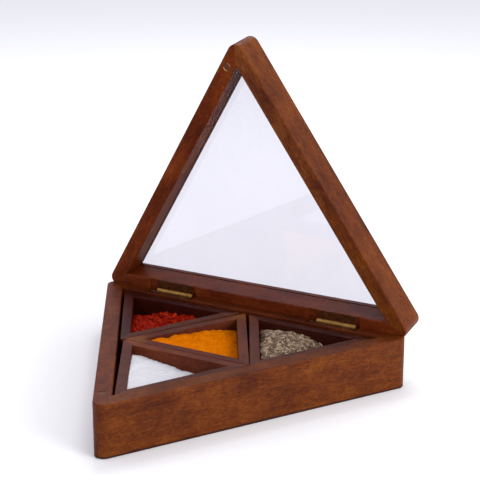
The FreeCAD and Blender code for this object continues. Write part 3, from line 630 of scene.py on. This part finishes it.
def seed_form():
    """A ribbed, slightly curved seed 1 long and 1 across, as points and quads."""
    rings, sides = 7, 8
    points, faces = [(-0.5, 0, 0)], []
    for r in range(1, rings):
        t = r / rings
        girth = 0.5 * math.sin(math.pi * t) ** 0.62
        for s in range(sides):
            angle = 2 * math.pi * s / sides
            radius = girth * (1.0 if s % 2 else 0.80)
            points.append((t - 0.5, radius * math.cos(angle), radius * math.sin(angle)))
    points.append((0.5, 0, 0))
    last = len(points) - 1
    for s in range(sides):
        n = (s + 1) % sides
        faces.append((0, 1 + n, 1 + s, 1 + s))
        for r in range(rings - 2):
            a, b = 1 + r * sides, 1 + (r + 1) * sides
            faces.append((a + s, a + n, b + n, b + s))
        tail = 1 + (rings - 2) * sides
        faces.append((tail + s, tail + n, last, last))
    points = np.array(points)
    points[:, 2] += 0.35 * (0.25 - points[:, 0] ** 2)
    return points, faces


def split_quads(faces):
    """Quads, some with a doubled corner, as triangles."""
    made = []
    for a, b, c, d in faces:
        made.append((a, b, c))
        if c != d:
            made.append((a, c, d))
    return made


def flake_form():
    """A small crumpled chip, as points and triangles."""
    form = bmesh.new()
    bmesh.ops.create_icosphere(form, subdivisions=2, radius=0.5)
    for vertex in form.verts:
        push = noise.noise(vertex.co * 3.1) * 0.22 + noise.noise(vertex.co * 7.3) * 0.12
        vertex.co *= 1.0 + push
    points = np.array([v.co for v in form.verts])
    faces = [tuple(v.index for v in f.verts) for f in form.faces]
    form.free()
    return points, faces


def spice_material(name, stops, size, rough, tint_share=0.0, bump_height=0.0003, **sockets):
    """Dry spice: speckled colour at the size of its grains, matt, with a grainy surface."""
    material, tree, shader = new_material(name, **sockets)
    place = object_place(tree)
    coarse = grain(tree, place, 1.0 / (size * 9), 3.0, 0.6)
    fine = grain(tree, place, 1.0 / size, 3.0, 0.7)
    tone = calc(tree, "MULTIPLY_ADD", fine, 0.6, calc(tree, "MULTIPLY", coarse, 0.4))
    if tint_share:
        tint = add(tree, "Attribute", attribute_name="tint").outputs["Fac"]
        rest = calc(tree, "MULTIPLY", tone, 1 - tint_share)
        tone = calc(tree, "MULTIPLY_ADD", tint, tint_share, rest)
    tree.links.new(ramp(tree, tone, stops), shader.inputs["Base Color"])
    tree.links.new(calc(tree, "MULTIPLY_ADD", fine, 0.2, rough), shader.inputs["Roughness"])
    tree.links.new(bump(tree, fine, bump_height, 0.8), shader.inputs["Normal"])
    return material


rng = np.random.default_rng(11)
FLAKE_COUNT = 560
SEED_COUNT = 1350
SEED_GAP = 0.7  # mm, between a seed's tips and the walls of its tray
BED_DEPTH = 1.9  # mm, from the top of the cumin down to the bed of it

# Each heap's surface is given by points on it, x, y and level in mm.

# turmeric: fine powder, heaped against the left wall and scooped away along the right one
corners, bottom = inner_corners("turmeric_heap")
turmeric_plain = smooth_surface([
    (-34, -8, 33.9), (-27.5, 2, 33.1), (-15.6, 21.6, 31.5), (-7.8, 34, 30.2), (-2, 43.5, 27.7),
    (1, 47, 26.6), (-38, -17.5, 33.5), (-15, -17.5, 32.0), (10, -17.5, 31.5), (36, -17.5, 28.0),
    (0, 5, 32.5), (14, 0, 32.0), (20, 14, 28.5), (9, 34, 26.5), (30, -4, 29.0), (6, 20, 31.5),
])


def turmeric_level(points):
    """The turmeric's surface with its soft clods."""
    clods = turmeric_plain(points) + 0.9 * lumps(points, 9.0, 3, 1.0)
    return clods + 0.6 * lumps(points, 2.2, 4, 7.0)


TURMERIC_STOPS = [
    (0.25, (0.42, 0.086, 0.0008)),
    (0.50, (0.65, 0.160, 0.0012)),
    (0.75, (0.82, 0.240, 0.0030)),
]
turmeric = spice_material("turmeric_powder", TURMERIC_STOPS, 0.0007, 0.85, Specular_IOR_Level=0.0)
powder(
    "turmeric", corners, bottom, turmeric_level, 120, turmeric,
    "centre_tray", "turmeric_heap",
)

# salt: white and fine, with shallow ridges
corners, bottom = inner_corners("salt_heap")
salt_plain = smooth_surface([
    (-38, -34.5, 29.4), (-31.5, -34.5, 29.8), (-23, -34.5, 28.4), (-15, -34.5, 27.8),
    (-3, -34.5, 25.7), (12, -34.5, 24.7), (40, -34.5, 21.0), (-25, -50, 32.5), (-12, -70, 33.5),
    (1, -95, 33.0), (0, -50, 30.0), (14, -70, 30.5), (24, -50, 26.0),
])


def salt_level(points):
    """The salt's surface with its shallow ridges."""
    return salt_plain(points) + 0.7 * lumps(points, 8.0, 3, 3.0) + 0.3 * lumps(points, 1.9, 3, 5.0)


SALT_STOPS = [(0.2, (0.52, 0.52, 0.56)), (0.7, (0.68, 0.67, 0.70))]
salt = spice_material("fine_salt", SALT_STOPS, 0.0005, 0.6, Specular_IOR_Level=0.2)
powder("salt", corners, bottom, salt_level, 110, salt, "front_tray", "salt_heap")

# chilli: coarse red powder under a layer of crumpled flakes
corners, bottom = inner_corners("chilli_heap")
chilli_plain = smooth_surface([
    (-93, 52, 20.0), (-84, 52, 21.5), (-74, 52, 23.5), (-65, 52, 27.8), (-52, 52, 27.3),
    (-36, 52, 28.4), (-26, 52, 22.0), (-16, 52, 17.5), (-80, 30, 25.0), (-60, 30, 28.0),
    (-40, 30, 27.0), (-30, 40, 25.0), (-55, 10, 29.0), (-54, -10, 28.0),
])


def chilli_level(points):
    """The chilli's surface with its clumps."""
    clumps = chilli_plain(points) + 0.1 + 1.1 * lumps(points, 6.0, 3, 2.0)
    return clumps + 0.8 * lumps(points, 2.2, 3, 9.0)


CHILLI_STOPS = [
    (0.15, (0.13, 0.0022, 0.0004)),
    (0.50, (0.29, 0.0070, 0.0007)),
    (0.85, (0.50, 0.0360, 0.0020)),
]
chilli = spice_material("chilli_powder", CHILLI_STOPS, 0.0009, 0.8, Specular_IOR_Level=0.0)
powder("chilli", corners, bottom, chilli_level, 110, chilli, "left_tray", "chilli_heap")
form, form_faces = flake_form()
places, turns, sizes = [], [], []
while len(places) < FLAKE_COUNT:
    spot = rng.uniform(corners.min(axis=0), corners.max(axis=0))
    size = rng.uniform(1.6, 4.6) * np.array([1.0, rng.uniform(0.55, 0.9), rng.uniform(0.25, 0.5)])
    if wall_distance(corners, spot) < size[0] * 0.68:
        continue
    level = float(chilli_level(spot[None])[0]) + rng.uniform(-0.5, 0.7)
    places.append((*spot, level))
    yaw = rng.uniform(0, 2 * math.pi)
    turns.append(turn_of(yaw, rng.uniform(-0.8, 0.8), rng.uniform(-0.8, 0.8)))
    sizes.append(size)
own_tints = rng.uniform(0, 1, FLAKE_COUNT)
points, faces, tints = scatter(form, form_faces, places, turns, sizes, own_tints)
flakes = spice_material(
    "chilli_flake", CHILLI_STOPS, 0.0012, 0.55,
    tint_share=0.4, bump_height=0.0002, Specular_IOR_Level=0.08,
)
mesh_piece("chilli_flakes", points, faces, flakes, "left_tray", tint=tints)

# cumin: single seeds lying every way on a bed for the seeds beneath, coloured dark as painted
# shade in the gaps between them
corners, bottom = inner_corners("cumin_heap")
cumin_plain = smooth_surface([
    (18.7, 52, 28.5), (29.5, 52, 30.9), (40, 52, 31.6), (49.8, 52, 31.9), (57.9, 52, 30.4),
    (65.9, 52, 28.0), (70, 52, 26.5), (80, 52, 20.0), (92, 52, 14.0), (45, 30, 33.0),
    (60, 30, 30.0), (72, 30, 25.0), (35, 30, 32.0), (54, 10, 31.5), (54, -8, 30.0),
])


def cumin_level(points):
    """The top of the cumin."""
    return cumin_plain(points) + 0.8 * lumps(points, 7.0, 3, 4.0)


def cumin_bed_level(points):
    """The bed that the loose seeds lie on."""
    return cumin_level(points) - BED_DEPTH


# painted shade: the bed is coloured as dark as the gaps between the seeds look
SHADED_BED_STOPS = [(0.3, (0.022, 0.013, 0.008)), (0.8, (0.07, 0.045, 0.028))]
cumin_bed = spice_material("cumin_bed", SHADED_BED_STOPS, 0.0012, 0.8, Specular_IOR_Level=0.1)
powder(
    "cumin_bed", corners, bottom, cumin_bed_level, 60, cumin_bed,
    "right_tray", "cumin_heap",
)
form, form_faces = seed_form()
places, turns, sizes = [], [], []
while len(places) < SEED_COUNT:
    spot = rng.uniform(corners.min(axis=0), corners.max(axis=0))
    length = rng.uniform(4.4, 6.6)
    yaw = rng.uniform(0, 2 * math.pi)
    reach = 0.5 * length * np.array([math.cos(yaw), math.sin(yaw)])
    tips = np.array([spot - reach, spot + reach])
    if wall_distance(corners, tips).min() < SEED_GAP:
        continue
    ends = cumin_level(tips)
    pitch = -math.atan2(ends[1] - ends[0], length) + rng.normal(0, 0.16)
    # the seeds lie deep at first, and later ones on top of them
    layer = ends.mean() - 1.1 + 1.3 * (len(places) / SEED_COUNT)
    places.append((*spot, layer + rng.uniform(-0.2, 0.2)))
    turns.append(turn_of(yaw, pitch, rng.uniform(0, 2 * math.pi)))
    girth = rng.uniform(1.10, 1.55)
    sizes.append(np.array([length, girth, girth]))
own_tints = rng.uniform(0, 1, SEED_COUNT)
points, faces, tints = scatter(form, split_quads(form_faces), places, turns, sizes, own_tints)
SEED_STOPS = [(0.1, (0.055, 0.032, 0.018)), (0.5, (0.23, 0.145, 0.088)), (0.9, (0.55, 0.42, 0.29))]
cumin = spice_material(
    "cumin_seed", SEED_STOPS, 0.0010, 0.5,
    tint_share=0.65, bump_height=0.0001, Specular_IOR_Level=0.3,
)
mesh_piece("cumin_seeds", points, faces, cumin, "right_tray", tint=tints)

# ---------------------------------------------------------------- floor, light and camera

FLOOR_HALF = 6.0
floor_mesh = bpy.data.meshes.new("floor")
floor_corners = [(x * FLOOR_HALF, y * FLOOR_HALF, 0) for x, y in ((-1, -1), (1, -1), (1, 1), (-1, 1))]
floor_mesh.from_pydata(floor_corners, [], [(0, 1, 2, 3)])
floor = bpy.data.objects.new("floor", floor_mesh)
bpy.context.scene.collection.objects.link(floor)
FLOOR_COLOUR = (0.90, 0.90, 0.905, 1.0)
floor_look = {"Base_Color": FLOOR_COLOUR, "Roughness": 0.9, "Specular_IOR_Level": 0.0}
floor_mesh.materials.append(new_material("pale_floor", **floor_look)[0])

world = bpy.data.worlds.new("studio")
bpy.context.scene.world = world
world.use_nodes = True
backdrop = world.node_tree.nodes["Background"]
backdrop.inputs["Color"].default_value = (0.925, 0.93, 1.0, 1.0)
backdrop.inputs["Strength"].default_value = 0.92


BOX_MIDDLE = (0, 0, 0.05)
SOFTBOX_SIDE = 0.7


def softbox(name, place, power, colour):
    """A soft square light at place that faces the box, with its power in watts."""
    light = bpy.data.lights.new(name, "AREA")
    light.shape = "SQUARE"
    light.size = SOFTBOX_SIDE
    light.energy = power
    light.color = colour
    lamp = bpy.data.objects.new(name, light)
    lamp.location = place
    lamp.rotation_euler = (Vector(BOX_MIDDLE) - Vector(place)).to_track_quat("-Z", "Y").to_euler()
    bpy.context.scene.collection.objects.link(lamp)


softbox("key_light", (1.25, -0.25, 0.50), 12.0, (1.0, 0.97, 0.93))
softbox("top_light", (-0.35, 0.75, 1.30), 9.0, (0.97, 0.97, 1.0))

# the photograph's viewing angle, fitted to the box's edges
CAMERA_PLACE = (0.46378, -0.78783, 0.39568)
CAMERA_DOWN = 17.40  # degrees
CAMERA_TURN = 28.87  # degrees, to the left of straight back
camera_data = bpy.data.cameras.new("camera")
camera_data.sensor_width = 36.0
camera_data.lens = 104.02
camera_data.clip_end = 30.0
camera = bpy.data.objects.new("camera", camera_data)
camera.location = CAMERA_PLACE
camera.rotation_euler = (math.radians(90 - CAMERA_DOWN), 0.0, math.radians(CAMERA_TURN))
bpy.context.scene.collection.objects.link(camera)
bpy.context.scene.camera = camera
bpy.context.scene.view_settings.view_transform = "Standard"
